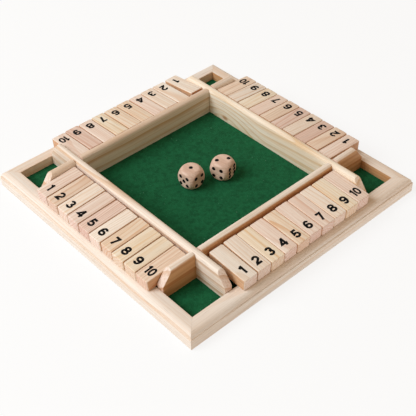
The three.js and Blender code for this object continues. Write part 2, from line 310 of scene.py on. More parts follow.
def make_piece(name, points, faces, crease=CREASE):
    """A closed shell from points and faces, with the faces turned outwards. It is shaded smooth, except over
    edges that turn by more than the crease."""
    mesh = bpy.data.meshes.new(name)
    mesh.from_pydata(np.asarray(points).tolist(), [], faces)
    shell = bmesh.new()
    shell.from_mesh(mesh)
    bmesh.ops.recalc_face_normals(shell, faces=shell.faces)
    shell.to_mesh(mesh)
    shell.free()
    mesh.shade_smooth()
    mesh.set_sharp_from_angle(angle=np.radians(crease))
    piece = bpy.data.objects.new(name, mesh)
    bpy.context.scene.collection.objects.link(piece)
    return piece


def felt_square(low, high):
    """The top is a grid at the box's top less a dip, the mean of crossed sine waves brought to between nought
    and the full dip. One more ring of points makes the sides and underside."""
    line = np.linspace(0.0, 1.0, FELT_POINTS)
    u, v = np.meshgrid(line, line, indexing="ij")
    x = low.x + (high.x - low.x) * u
    y = low.y + (high.y - low.y) * v
    waves = []
    for k in range(FELT_WAVES):
        along = x * np.cos(WAVE_TURN * k) + y * np.sin(WAVE_TURN * k)
        waves.append(np.sin((SLOWEST_WAVE + WAVE_STEP * k) * along + WAVE_SHIFT * k))
    dip = FELT_DIP * (np.sum(waves, axis=0) / FELT_WAVES + 1.0) / 2.0
    top = np.stack([x, y, high.z - dip], axis=-1).reshape(-1, 3)
    index = np.arange(FELT_POINTS**2).reshape(FELT_POINTS, FELT_POINTS)
    rim = np.concatenate([index[:-1, 0], index[-1, :-1], index[:0:-1, -1], index[0, :0:-1]])
    foot = top[rim].copy()
    foot[:, 2] = low.z
    below = len(top) + np.arange(len(rim))
    sides = np.stack([rim, below, np.roll(below, -1), np.roll(rim, -1)], axis=-1)
    faces = grid_faces(FELT_POINTS, FELT_POINTS).tolist() + sides.tolist() + [below.tolist()]
    return make_piece("felt_square", np.concatenate([top, foot]), faces, crease=50.0)


def green_felt():
    """Matted wool: fine specks and wandering fibres in deep green with a soft bloom."""
    material, tree, surface = new_material("green felt")
    place = put(tree, "ShaderNodeTexCoord").outputs["Object"]
    speck = stretched_noise(tree, place, (2100.0, 2100.0, 2100.0), 3.0, 0.7)
    tuft = stretched_noise(tree, place, (360.0, 330.0, 300.0), 3.0, 0.6)
    patch = stretched_noise(tree, place, (150.0, 170.0, 120.0), 3.0, 0.6)
    lint = stretched_noise(tree, place, (900.0, 700.0, 500.0), 0.0)
    fibre = stretched_noise(tree, place, (2600.0, 420.0, 900.0), 2.0)
    cross = stretched_noise(tree, place, (460.0, 2500.0, 900.0), 2.0)
    lay = reckon(tree, "MAXIMUM", fibre, cross)
    colour = mix_colours(tree, ramp(tree, speck, 0.3, 0.72), FELT_DEEP, FELT_GREEN)
    colour = mix_colours(tree, ramp(tree, lay, 0.58, 0.78, 0.0, 0.5), colour, FELT_FIBRE)
    colour = mix_colours(tree, ramp(tree, tuft, 0.42, 0.6, 0.0, 0.65), colour, FELT_DEEP)
    colour = mix_colours(tree, ramp(tree, patch, 0.42, 0.62, 0.0, 0.3), colour, FELT_PATCH)
    colour = mix_colours(tree, ramp(tree, lint, 0.84, 0.87, 0.0, 0.6), colour, FELT_LINT)
    pile = reckon(tree, "ADD", reckon(tree, "MULTIPLY", speck, 0.6), reckon(tree, "MULTIPLY", lay, 0.6))
    bloom = {
        "Specular IOR Level": 0.15,
        "Sheen Weight": 0.12,
        "Sheen Roughness": 0.5,
        "Sheen Tint": FELT_BLOOM,
    }
    roughness = ramp(tree, tuft, 0.2, 0.8, 0.9, 1.0)
    lay_finish(tree, surface, colour, roughness, pile, relief=0.7, depth=0.0003, others=bloom)
    return material


felt_low, felt_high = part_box("felt_floor")
felt = felt_square(felt_low, felt_high)
felt.data.materials.append(green_felt())
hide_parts("felt_floor")
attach(felt, "tray")

# The frame: four lengths of pine moulding with tight mitred ends. Outward from the tray a flat is followed by
# a broad round shoulder, a fine cove and quirk, and a plain side. The base panel's rebate is cut underneath.

RAIL_FLAT = 0.0064
SHOULDER_REACH = 0.0044
SHOULDER_DROP = 0.0040
COVE_RADIUS = 0.00035
QUIRK_DEPTH = 0.00005
BEAD_RADIUS = 0.00045
FOOT_ROUND = 0.0008
INNER_EDGE_ROUND = 0.0004
MITRE_GAP = 0.00006
PANEL_LAP = 0.004
FIT_GAP = 0.0002
# Each side's quarter turns from the front
SIDES = {"front": 0, "right": 1, "back": 2, "left": 3}
RAIL_PALE = (0.87, 0.79, 0.71)
RAIL_DARK = (0.74, 0.48, 0.29)
# The way out of the log, as seen from the front rail, and how far each next rail was sawn along the trunk
RAIL_OUTWARD = (0.0, -0.2, 0.98)
RAIL_STEP = 0.3
# Each rail's place in its log, its lean and how much painted shade its inner face gets
RAIL_LOGS = {
    "front": ((0.061, 0.01), 0.006, 0.7),
    "right": ((0.052, -0.02), -0.008, 1.0),
    "back": ((0.046, 0.015), 0.006, 0.3),
    "left": ((0.067, -0.01), 0.004, 0.7),
}
# Painted shade grows with how squarely a face looks its way, by this much from this start, up to its full
# share
PAINTED_SHADE_GAIN = 4.0
PAINTED_SHADE_START = 2.6
# The brown of the painted shade, which darkens inner faces and the gaps between tiles as if in dim warm light
PAINTED_SHADE_BROWN = (0.73, 0.46, 0.25, 1.0)
SAWN_PINK = (0.95, 0.86, 0.86, 1.0)
# Slow noise of these cells bends the rings by this much
BEND_CELLS = (34.0, 34.0, 7.0)
RING_BEND = (0.011, 0.011, 0.0)
# A knot runs along X and is twice as long on Y as on Z. It pushes the rings the most at its middle, and not
# at all beyond its reach
KNOT_SWELL = 0.015
KNOT_REACH = 0.024
KNOT_STRETCH = (0.0, 0.5, 1.0)
KNOT_HEART = 0.0006
KNOT_EDGE = 0.0026
KNOT_STRENGTH = 0.85
KNOT_BROWN = (0.45, 0.20, 0.07, 1.0)
FAR_AWAY = (1.0, 1.0, 1.0)
GRAIN_DEPTH = 0.00008


def arc(centre, radius, start, end, steps=9):
    """Points round a circle in the plane, from one angle to the other in quarter turns."""
    angle = np.linspace(start, end, steps) * np.pi / 2
    return np.stack([centre[0] + radius * np.cos(angle), centre[1] + radius * np.sin(angle)], axis=-1)


def quarter_turn(points, turns):
    """The points turned about the tray's middle by so many quarter turns."""
    turn = np.array(Matrix.Rotation(turns * np.pi / 2, 3, "Z"))
    return np.asarray(points) @ turn.T


def moulding_section(inner, outer, top, rebate):
    """The rail's outline, as distance from the middle against height, from the rebate round to the inner
    face: a quarter oval for the shoulder and quarter circles for the other rounds."""
    flat_edge = inner + RAIL_FLAT
    cove_top = top - SHOULDER_DROP
    cove_foot = cove_top - COVE_RADIUS
    cove_reach = flat_edge + SHOULDER_REACH + COVE_RADIUS
    bead_top = cove_foot - QUIRK_DEPTH
    return np.concatenate([
        [(inner, rebate), (inner + PANEL_LAP, rebate), (inner + PANEL_LAP, 0.0)],
        arc((outer - FOOT_ROUND, FOOT_ROUND), FOOT_ROUND, -1, 0, steps=5),
        arc((outer - BEAD_RADIUS, bead_top - BEAD_RADIUS), BEAD_RADIUS, 0, 1),
        arc((cove_reach, cove_top), COVE_RADIUS, -1, -2)[:-1],
        arc((0.0, 0.0), 1.0, 0, 1, steps=17) * (SHOULDER_REACH, SHOULDER_DROP) + (flat_edge, cove_top),
        arc((inner + INNER_EDGE_ROUND, top - INNER_EDGE_ROUND), INNER_EDGE_ROUND, 1, 2, steps=4),
    ])


def moulded_rail(name, section, turns, stations=33):
    """The section carried along the rail: a point at distance r and height z goes to (t (r - m), -r, z) for t
    from -1 to 1, where m pulls both mitres back, and is then turned to its side. Flat ends close it."""
    pull = MITRE_GAP * np.sqrt(0.5)
    t = np.linspace(-1.0, 1.0, stations)[:, None]
    r, z = section.T
    points = np.stack([t * (r - pull), -r + 0 * t, z + 0 * t], axis=-1).reshape(-1, 3)
    count = len(section)
    ends = [list(range(count)), list(range((stations - 1) * count, stations * count))]
    faces = grid_faces(stations, count, joined=True).tolist() + ends
    return make_piece(name, quarter_turn(points, turns), faces, crease=25.0)


def read_all(rows, field, width=3):
    """One field of all the points, corners or faces of a mesh, as an array with that many numbers a row."""
    values = np.empty(len(rows) * width)
    rows.foreach_get(field, values)
    return values.reshape(-1, width)


def lay_grain(piece, along, outward, pith, tilt=0.0, start=0.0, fineness=1.0, painted_shades=(), tone=1.0):
    """Marks where each point lay in the log: x and y are measured from the pith, outward and across, and z
    along the trunk. The trunk leans from the piece's length by the tilt, and the fineness narrows the rings.
    The mark "end" is how squarely a corner looks along the trunk, and "tone" is how light the piece is. The
    mark of painted shade is a share on faces that look the share's way, which lie in shade, and it fades over
    the rounds beside them."""
    mesh = piece.data
    along, outward = np.array(along, float), np.array(outward, float)
    across = np.cross(along, outward)
    trunk = (along + tilt * outward) / np.hypot(1.0, tilt)
    axes = np.stack([(outward - tilt * along) / np.hypot(1.0, tilt), across, trunk])
    points = read_all(mesh.vertices, "co")
    middle = (points.min(axis=0) + points.max(axis=0)) / 2
    place = (points - middle) @ axes.T + np.array([pith[0], pith[1], start])
    mark = mesh.attributes.new("log", "FLOAT_VECTOR", "POINT")
    mark.data.foreach_set("vector", (place * (fineness, fineness, 1.0)).ravel())
    looks = read_all(mesh.corner_normals, "vector")
    painted_shade = np.zeros(len(looks))
    # Painted shade on faces that look each given way, where shade falls inside the tray and between tiles
    for way, share in painted_shades:
        square = looks @ np.asarray(way)
        painted_shade = np.maximum(painted_shade, share * np.clip(PAINTED_SHADE_GAIN * square - PAINTED_SHADE_START, 0.0, 1.0))
    for name, value in (("end", np.abs(looks @ trunk)), ("painted_shade", painted_shade)):
        mark = mesh.attributes.new(name, "FLOAT", "CORNER")
        mark.data.foreach_set("value", value)
    lightness = mesh.attributes.new("tone", "FLOAT", "POINT")
    lightness.data.foreach_set("value", np.full(len(mesh.vertices), tone))


def pine_figure():
    """Growth rings are the fraction of the distance from the pith over the ring width, after slow noise has
    bent it. Each ring darkens slowly outward and stops short, and has its own strength. Fine fibres and
    short resin lines run along the trunk. Sawn ends are pinker. Faces given painted shade are browner, as if
    in dim warm light. A knot runs along X at its place, and the rings swell round it."""
    tree = bpy.data.node_groups.new("pine figure", "ShaderNodeTree")
    for name, kind in (
        ("Log", "Vector"),
        ("End", "Float"),
        ("Painted shade", "Float"),
        ("Tone", "Float"),
        ("Pale", "Color"),
        ("Dark", "Color"),
        ("Ring width", "Float"),
        ("Boldness", "Float"),
        ("Knot", "Vector"),
    ):
        tree.interface.new_socket(name, in_out="INPUT", socket_type=f"NodeSocket{kind}")
    for name, kind in (("Colour", "Color"), ("Roughness", "Float"), ("Height", "Float")):
        tree.interface.new_socket(name, in_out="OUTPUT", socket_type=f"NodeSocket{kind}")
    given = put(tree, "NodeGroupInput").outputs
    log = given["Log"]
    cells = reckon_vectors(tree, "MULTIPLY", log, BEND_CELLS)
    slow = put(tree, "ShaderNodeTexNoise", {"Vector": cells, "Scale": 1.0, "Detail": 2.0})
    drift = reckon_vectors(tree, "SUBTRACT", slow.outputs["Color"], (0.5, 0.5, 0.5))
    drift = reckon_vectors(tree, "MULTIPLY", drift, RING_BEND)
    bent = reckon_vectors(tree, "ADD", log, drift)
    distance = reckon_vectors(tree, "LENGTH", reckon_vectors(tree, "MULTIPLY", bent, (1.0, 1.0, 0.0)))
    place = put(tree, "ShaderNodeTexCoord").outputs["Object"]
    off = reckon_vectors(tree, "SUBTRACT", place, given["Knot"])
    from_knot = reckon_vectors(tree, "LENGTH", reckon_vectors(tree, "MULTIPLY", off, KNOT_STRETCH))
    distance = reckon(tree, "ADD", distance, ramp(tree, from_knot, 0.0, KNOT_REACH, -KNOT_SWELL, 0.0))
    ring = reckon(tree, "DIVIDE", distance, given["Ring width"])
    number = reckon(tree, "FLOOR", ring)
    growth = reckon(tree, "FRACT", ring)
    chance = put(tree, "ShaderNodeTexWhiteNoise", {"W": number}, noise_dimensions="1D").outputs["Value"]
    late = reckon(tree, "MULTIPLY", ramp(tree, growth, 0.5, 0.93), ramp(tree, growth, 0.94, 1.0, 1.0, 0.0))
    late = reckon(tree, "MULTIPLY", late, reckon(tree, "MULTIPLY_ADD", chance, 0.7, 0.3))
    fibre = stretched_noise(tree, log, (1500.0, 1500.0, 40.0), 3.0, 0.6)
    streak = stretched_noise(tree, log, (650.0, 650.0, 8.0), 2.0, 0.5)
    resin = ramp(tree, stretched_noise(tree, log, (1100.0, 1100.0, 70.0), 1.0), 0.66, 0.76)
    cloud = stretched_noise(tree, log, (55.0, 55.0, 12.0), 2.0)
    bold = reckon(tree, "MULTIPLY", late, given["Boldness"])
    colour = mix_colours(tree, bold, given["Pale"], given["Dark"])
    colour = mix_colours(tree, ramp(tree, streak, 0.42, 0.68, 0.0, 0.3), colour, given["Dark"])
    colour = mix_colours(tree, ramp(tree, cloud, 0.35, 0.7, 0.0, 0.18), colour, given["Dark"])
    spot = ramp(tree, from_knot, KNOT_HEART, KNOT_EDGE, KNOT_STRENGTH, 0.0)
    colour = mix_colours(tree, spot, colour, KNOT_BROWN)
    shade = ramp(tree, fibre, 0.25, 0.75, 0.93, 1.04)
    shade = reckon(tree, "MULTIPLY", shade, reckon(tree, "MULTIPLY_ADD", resin, -0.16, 1.0))
    shade = reckon(tree, "MULTIPLY", shade, given["Tone"])
    sawn = ramp(tree, given["End"], 0.55, 0.95)
    colour = mix_colours(tree, sawn, colour, SAWN_PINK, "MULTIPLY")
    # Painted shade: faces that lie in shade, such as inner faces and tile gaps, are multiplied browner
    colour = mix_colours(tree, ramp(tree, given["Painted shade"], 0.0, 1.0), colour, PAINTED_SHADE_BROWN, "MULTIPLY")
    shaded = put(tree, "ShaderNodeVectorMath", {0: colour, 3: shade}, operation="SCALE").outputs[0]
    roughness = reckon(tree, "MULTIPLY_ADD", late, -0.08, 0.6)
    roughness = reckon(tree, "ADD", roughness, reckon(tree, "MULTIPLY", sawn, 0.15))
    height = reckon(tree, "MULTIPLY_ADD", fibre, 0.6, reckon(tree, "MULTIPLY", late, 0.35))
    height = reckon(tree, "MULTIPLY_ADD", resin, -0.4, height)
    put(tree, "NodeGroupOutput", {"Colour": shaded, "Roughness": roughness, "Height": height})
    return tree


pine = pine_figure()


def lookup(tree, name, kind="Fac"):
    """The socket that holds a named mark of the mesh, as a number unless another kind is named."""
    return put(tree, "ShaderNodeAttribute", attribute_name=name).outputs[kind]


def wood_finish(name, pale, dark, ring_width, boldness, relief=0.3, gloss=0.4, knot=FAR_AWAY):
    """Sanded wood with the pine figure in two colours. No knot shows unless its place is given."""
    material, tree, surface = new_material(name)
    figure = put(tree, "ShaderNodeGroup", {
        "Log": lookup(tree, "log", "Vector"),
        "End": lookup(tree, "end"),
        "Painted shade": lookup(tree, "painted_shade"),
        "Tone": lookup(tree, "tone"),
        "Pale": (*pale, 1.0),
        "Dark": (*dark, 1.0),
        "Ring width": ring_width,
        "Boldness": boldness,
        "Knot": knot,
    }, node_tree=pine)
    colour, roughness, height = figure.outputs
    lay_finish(tree, surface, colour, roughness, height, relief, GRAIN_DEPTH, {"Specular IOR Level": gloss})
    return material


rail_wood = wood_finish("rail pine", RAIL_PALE, RAIL_DARK, ring_width=0.0052, boldness=0.5, gloss=0.15)
rail_low, rail_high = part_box("rail_front")
rail_inner = -rail_high.y
rail_outer = -rail_low.y
rebate_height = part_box("base_panel")[1].z + FIT_GAP
section = moulding_section(rail_inner, rail_outer, rail_high.z, rebate_height)
for side, turns in SIDES.items():
    rail = moulded_rail(f"moulded_rail_{side}", section, turns)
    length_way, outward_way, inward_way = quarter_turn([(1, 0, 0), RAIL_OUTWARD, (0, 1, 0)], turns)
    pith, tilt, painted_shade = RAIL_LOGS[side]
    # The rail's inner face, toward the tray's middle, gets painted shade
    lay_grain(rail, length_way, outward_way, pith, tilt, RAIL_STEP * turns, painted_shades=[(inward_way, painted_shade)])
    rail.data.materials.append(rail_wood)
    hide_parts(f"rail_{side}")
    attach(rail, "tray")

# The partition boards: four pine boards with nearly round tops and ends sawn on the slant, half-lapped where
# they cross. Those along Y run over those along X. A rod is held in a blind hole near each end.

BOARD_TOP_ROUND = 0.0028
CHEEK_SLANT = 0.0083
CHEEK_DROP = 0.011
BOARD_EDGE_EASE = 0.0004
HOLE_RADIUS = 0.00175
SOCKET_DEPTH = 0.0035
OVERRUN = 0.001
MERGE_DISTANCE = 0.00001
BOARD_PALE = (0.90, 0.80, 0.70)
BOARD_DARK = (0.58, 0.31, 0.12)
KNOTTY_PALE = (0.94, 0.83, 0.69)
KNOTTY_DARK = (0.70, 0.42, 0.16)
# Where the knot is, and how far each next board was sawn along the trunk
BOARD_KNOT = (0.066, 0.045, 0.0095)
BOARD_STEP = 0.7
# Each board's way out of its log and place in it, its lean, how fine its rings are and how much painted shade
# its outer face gets
BOARD_LOGS = {
    "front": ((0.0, -0.25, 0.968), (0.055, 0.02), 0.015, 1.0, 1.0),
    "right": ((0.0, -0.45, 0.893), (0.052, 0.004), 0.035, 1.0, 0.3),
    "back": ((0.0, -0.15, 0.989), (0.0505, -0.01), 0.016, 1.0, 0.6),
    "left": ((0.0, -0.3, 0.954), (0.06, 0.01), -0.02, 1.1, 0.1),
}


def board_blank(name, half_length, thickness, foot, top):
    """The section is a wall on each side and a quarter round over each. A point of it at height z is carried
    from -x to x, where x is the half length less the slant times how far z is above the slant's foot, over
    the drop. All its edges are then eased a little."""
    w, tip, shoulder = thickness / 2, top - CHEEK_DROP, top - BOARD_TOP_ROUND
    top_round = arc((w - BOARD_TOP_ROUND, shoulder), BOARD_TOP_ROUND, 0, 1)
    half_section = np.concatenate([[(w, foot), (w, tip)], top_round])
    y, z = np.concatenate([half_section, half_section[::-1] * (-1, 1)]).T
    reach = half_length - CHEEK_SLANT * np.clip(z - tip, 0.0, None) / CHEEK_DROP
    points = np.concatenate([np.stack([e * reach, y, z], axis=-1) for e in (-1, 1)])
    count = len(y)
    ends = []
    for start in (0, count):
        ends.append([start, start + 1, start + count - 2, start + count - 1])
        ends.append([start + k for k in range(1, count - 1)])
    board = make_piece(name, points, grid_faces(2, count, joined=True).tolist() + ends)
    ease = board.modifiers.new("ease", "BEVEL")
    ease.width = BOARD_EDGE_EASE
    ease.segments = 3
    ease.limit_method = "ANGLE"
    ease.angle_limit = np.radians(30)
    bpy.context.view_layer.objects.active = board
    bpy.ops.object.modifier_apply(modifier=ease.name)
    return board


def cutting_block(low, high):
    """A plain block between two corners, to cut with."""
    low, high = np.array(low), np.array(high)
    corners = np.array([[i, j, k] for i in (0, 1) for j in (0, 1) for k in (0, 1)])
    faces = [(0, 1, 3, 2), (4, 6, 7, 5), (0, 4, 5, 1), (2, 3, 7, 6), (0, 2, 6, 4), (1, 5, 7, 3)]
    return make_piece("cutter", low + corners * (high - low), faces)


def drill(centre, way, radius, length, sides=40):
    """A round bit about the line through the centre along the way: two circles of points with flat ends."""
    way = np.array(way, float)
    first = np.cross(way, (0.0, 0.0, 1.0) if abs(way[2]) < 0.9 else (1.0, 0.0, 0.0))
    first /= np.linalg.norm(first)
    second = np.cross(way, first)
    angle = np.linspace(0.0, 2 * np.pi, sides, endpoint=False)[:, None]
    ring = radius * (np.cos(angle) * first + np.sin(angle) * second)
    points = np.concatenate([np.array(centre) + ring + e * way * length / 2 for e in (-1, 1)])
    ends = [list(range(sides)), list(range(sides, 2 * sides))]
    return make_piece("cutter", points, grid_faces(2, sides, joined=True).tolist() + ends)


def cut_away(piece, cutters, crease=CREASE):
    """Cuts the cutters out of the piece and throws them away, and merges points left almost together."""
    bpy.context.view_layer.objects.active = piece
    for cutter in cutters:
        cut = piece.modifiers.new("cut", "BOOLEAN")
        cut.operation = "DIFFERENCE"
        cut.solver = "EXACT"
        cut.object = cutter
        bpy.ops.object.modifier_apply(modifier=cut.name)
        bpy.data.objects.remove(cutter)
    shell = bmesh.new()
    shell.from_mesh(piece.data)
    bmesh.ops.remove_doubles(shell, verts=shell.verts, dist=MERGE_DISTANCE)
    shell.to_mesh(piece.data)
    shell.free()
    piece.data.set_sharp_from_angle(angle=np.radians(crease))


def move_points(piece, turn, shift):
    """Turns the mesh's points and then shifts them, with the object left at the origin."""
    piece.data.transform(Matrix.Translation(shift) @ turn.to_4x4())


board_wood = wood_finish("board pine", BOARD_PALE, BOARD_DARK, ring_width=0.008, boldness=0.75)
knotty_wood = wood_finish(
    "knotty board pine", KNOTTY_PALE, KNOTTY_DARK, ring_width=0.0062, boldness=0.75, knot=BOARD_KNOT
)
lap_low, lap_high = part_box("board_back")
lap_height = (lap_low.z + lap_high.z) / 2
rod_low, rod_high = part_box("rod_front")
rod_place = -rod_low.y - (rod_high.z - rod_low.z) / 2
rod_height = (rod_low.z + rod_high.z) / 2
# Each board is drawn along X with its inner face toward -Y, as the back board's, and turned to its side.
for side, turns in {"back": 0, "left": 1, "front": 2, "right": 3}.items():
    low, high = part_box(f"board_{side}")
    if turns % 2:
        half_length, offset, thickness = high.y, abs(low.x + high.x) / 2, high.x - low.x
        notch_low, notch_high = low.z - OVERRUN, lap_height + FIT_GAP / 2
    else:
        half_length, offset, thickness = high.x, abs(low.y + high.y) / 2, high.y - low.y
        notch_low, notch_high = lap_height - FIT_GAP / 2, high.z + OVERRUN
    board = board_blank(f"partition_board_{side}", half_length, thickness, low.z, high.z)
    reach = thickness / 2 + FIT_GAP
    notches = [
        cutting_block((x - reach, -thickness, notch_low), (x + reach, thickness, notch_high))
        for x in (-offset, offset)
    ]
    socket_middle = -thickness / 2 + (SOCKET_DEPTH - OVERRUN) / 2
    sockets = [
        drill((x, socket_middle, rod_height), (0, 1, 0), HOLE_RADIUS, SOCKET_DEPTH + OVERRUN)
        for x in (-rod_place, rod_place)
    ]
    cut_away(board, notches + sockets)
    move_points(board, Matrix.Rotation(turns * np.pi / 2, 3, "Z"), quarter_turn((0.0, offset, 0.0), turns))
    outward, pith, tilt, fineness, painted_shade = BOARD_LOGS[side]
    length_way, outward_way, back_way = quarter_turn([(1, 0, 0), outward, (0, 1, 0)], turns)
    # The board's outer face, toward the corner cells, gets painted shade
    lay_grain(board, length_way, outward_way, pith, tilt, BOARD_STEP * turns, fineness, [(back_way, painted_shade)])
    board.data.materials.append(knotty_wood if side == "right" else board_wood)
    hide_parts(f"board_{side}")
    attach(board, "tray")

# The rods: plain bright steel, one through each row of tiles, with faint streaks along them from the die that
# they were drawn through. They keep their frame pieces.

STEEL_GREY = (0.60, 0.60, 0.60, 1)
STEEL_BRIGHT = (0.72, 0.72, 0.71, 1)


def drawn_steel():
    """Bright steel with faint streaks that are long on X and Y, the ways that the rods run, and fine on Z."""
    material, tree, surface = new_material("drawn steel")
    place = put(tree, "ShaderNodeTexCoord").outputs["Object"]
    streak = stretched_noise(tree, place, (60.0, 60.0, 5000.0), 3.0)
    cloud = stretched_noise(tree, place, (300.0, 300.0, 300.0), 2.0)
    colour = mix_colours(tree, ramp(tree, cloud, 0.3, 0.7), STEEL_GREY, STEEL_BRIGHT)
    roughness = ramp(tree, streak, 0.3, 0.7, 0.24, 0.36)
    lay_finish(tree, surface, colour, roughness, streak, relief=0.15, depth=0.00005, others={"Metallic": 1.0})
    return material


steel = drawn_steel()
for side in SIDES:
    dress(f"rod_{side}", steel)

# The number tiles: forty small pine blocks with softened edges, sawn from many boards, so each has its own
# tone and figure. Each is drilled across near its inner end and threaded on its row's rod.

TILE_EDGE_ROUND = 0.0008
TILE_CORNER_ROUND = 0.0013
TILE_CREASE = 12.0
# How much painted shade the tiles' sides get, in the gaps between them, and their inner ends, toward the
# board
TILE_SIDE_PAINTED_SHADE = 0.75
TILE_END_PAINTED_SHADE = 1.0
# Where each tile lay in its log: its ranges of place from the pith, outward and across, of place along the
# trunk, of lean, of lightness and of how fine its rings are
LUCK_SEED = 5
PITH_OUT = (0.02, 0.07)
PITH_ACROSS = (-0.02, 0.02)
TRUNK_PLACE = (0.0, 3.0)
TRUNK_LEAN = (-0.06, 0.06)
TILE_TONE = (0.96, 1.03)
TILE_FINENESS = (0.8, 1.5)
TILE_WOODS = {
    "cream": ((0.91, 0.82, 0.72), (0.74, 0.49, 0.31)),
    "pink": ((0.90, 0.77, 0.67), (0.68, 0.40, 0.27)),
    "tan": ((0.86, 0.70, 0.56), (0.62, 0.35, 0.20)),
    "straw": ((0.90, 0.80, 0.65), (0.74, 0.45, 0.20)),
    "amber": ((0.88, 0.74, 0.59), (0.70, 0.37, 0.16)),
    "mauve": ((0.83, 0.65, 0.55), (0.60, 0.31, 0.20)),
}
# The wood of tiles 1 to 10 in each row
TILE_PICKS = {
    "front": "cream cream straw pink amber pink pink cream straw pink",
    "right": "pink tan mauve cream mauve tan pink straw cream tan",
    "back": "cream cream cream pink amber amber straw pink mauve pink",
    "left": "pink tan cream pink mauve cream amber straw straw tan",
}


def rounded_block(name, low, high, edge_steps=5, corner_steps=4):
    """A stack of rings from the underside up. A ring is the block's plan pulled in by the corner radius c and
    pushed out again by c - e + e cos f, at the height of the edge round's middle plus e sin f, for f from
    minus to plus a quarter turn, where e is the edge radius."""
    low, high = np.array(low), np.array(high)
    corners = np.array([(1, -1), (1, 1), (-1, 1), (-1, -1)])
    angle = np.linspace(-np.pi / 2, 0.0, corner_steps)[None, :] + np.arange(4)[:, None] * np.pi / 2
    ways = np.stack([np.cos(angle), np.sin(angle)], axis=-1).reshape(-1, 2)
    middle, half = (low + high) / 2, (high - low) / 2
    base = np.repeat(corners * (half[:2] - TILE_CORNER_ROUND), corner_steps, axis=0)
    f = np.linspace(-np.pi / 2, np.pi / 2, 2 * edge_steps)
    push = TILE_CORNER_ROUND - TILE_EDGE_ROUND + TILE_EDGE_ROUND * np.cos(f)
    plan = base[None] + push[:, None, None] * ways[None]
    height = np.sign(f) * (half[2] - TILE_EDGE_ROUND) + TILE_EDGE_ROUND * np.sin(f)
    rings, count = plan.shape[:2]
    points = np.concatenate([plan, np.broadcast_to(height[:, None, None], (rings, count, 1))], axis=-1)
    caps = [list(range(count)), list(range((rings - 1) * count, rings * count))]
    faces = grid_faces(rings, count, joined=True).tolist() + caps
    return make_piece(name, points.reshape(-1, 3) + middle, faces, crease=TILE_CREASE)


def lie_of_tile(mesh, across):
    """The tile's own axes at rest as rows: across, inward along it, and up. Up is the way that the largest of
    its upper faces looks."""
    looks = read_all(mesh.polygons, "normal")
    areas = read_all(mesh.polygons, "area", 1)[:, 0]
    up = looks[np.argmax(areas * (looks[:, 2] > 0.7))]
    return np.stack([across, np.cross(up, across), up])


tile_finishes = {
    wood: wood_finish(f"{wood} tile wood", pale, dark, ring_width=0.0026, boldness=0.7, relief=0.4)
    for wood, (pale, dark) in TILE_WOODS.items()
}
tile_lies = {}
luck = np.random.default_rng(LUCK_SEED)
for joint in frame["joints"]:
    if joint["type"] != "hinge":
        continue
    side, number = joint["name"].split("_")[1:]
    node = f"tile_{side}_{number}"
    frame_tile = frame["nodes"][node].data
    rod = np.array(joint["pos_m"])
    axes = lie_of_tile(frame_tile, -np.array(joint["axis"], float))
    inside = (read_all(frame_tile.vertices, "co") - rod) @ axes.T
    low, high = inside.min(axis=0), inside.max(axis=0)
    tile_lies[side, number] = (rod, axes, low, high)
    tile = rounded_block(f"number_tile_{side}_{number}", low, high)
    middle, width = (low[0] + high[0]) / 2, high[0] - low[0]
    bore = drill((middle, 0, 0), (1, 0, 0), HOLE_RADIUS, 2 * width, sides=28)
    cut_away(tile, [bore], TILE_CREASE)
    move_points(tile, Matrix(axes.T.tolist()), rod)
    swing = luck.uniform(0.0, 2 * np.pi)
    outward = np.cos(swing) * axes[0] + np.sin(swing) * axes[2]
    pith = (luck.uniform(*PITH_OUT), luck.uniform(*PITH_ACROSS))
    tilt = luck.uniform(*TRUNK_LEAN)
    tone = luck.uniform(*TILE_TONE)
    fineness = luck.uniform(*TILE_FINENESS)
    # The tile's sides, in the gaps, and its inner end get painted shade
    painted_shades = [(axes[0], TILE_SIDE_PAINTED_SHADE), (-axes[0], TILE_SIDE_PAINTED_SHADE), (axes[1], TILE_END_PAINTED_SHADE)]
    lay_grain(tile, axes[1], outward, pith, tilt, luck.uniform(*TRUNK_PLACE), fineness, painted_shades, tone)
    pick = TILE_PICKS[side].split()[int(number) - 1]
    tile.data.materials.append(tile_finishes[pick])
    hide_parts(node)
    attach(tile, joint["child"])

# The numerals: black ink stamped on the outer end of each tile, in a plain heavy face of even strokes, read
# from outside the tray. The ink is a thin film that soaks a little into the wood.

NUMERAL_HEIGHT = 0.0073
NUMERAL_STROKE = 0.00178
NUMERAL_FROM_END = 0.0084
INK_PROUD = 0.00003
INK_SUNK = 0.00006
INK_BLACK = (0.004, 0.0035, 0.003, 1)
INK_WORN = (0.02, 0.017, 0.014, 1)
# The ten is two figures, narrower and lighter than one alone, with a gap between them
PAIR_WIDTH = 0.80
PAIR_STROKE = 0.85
PAIR_GAP = 0.10


def bend(centre, radii, start, end, steps=17):
    """Points round an oval from one angle to the other, in degrees, anticlockwise if the end is greater."""
    angle = np.radians(np.linspace(start, end, steps))
    return np.stack([centre[0] + radii[0] * np.cos(angle), centre[1] + radii[1] * np.sin(angle)], axis=-1)


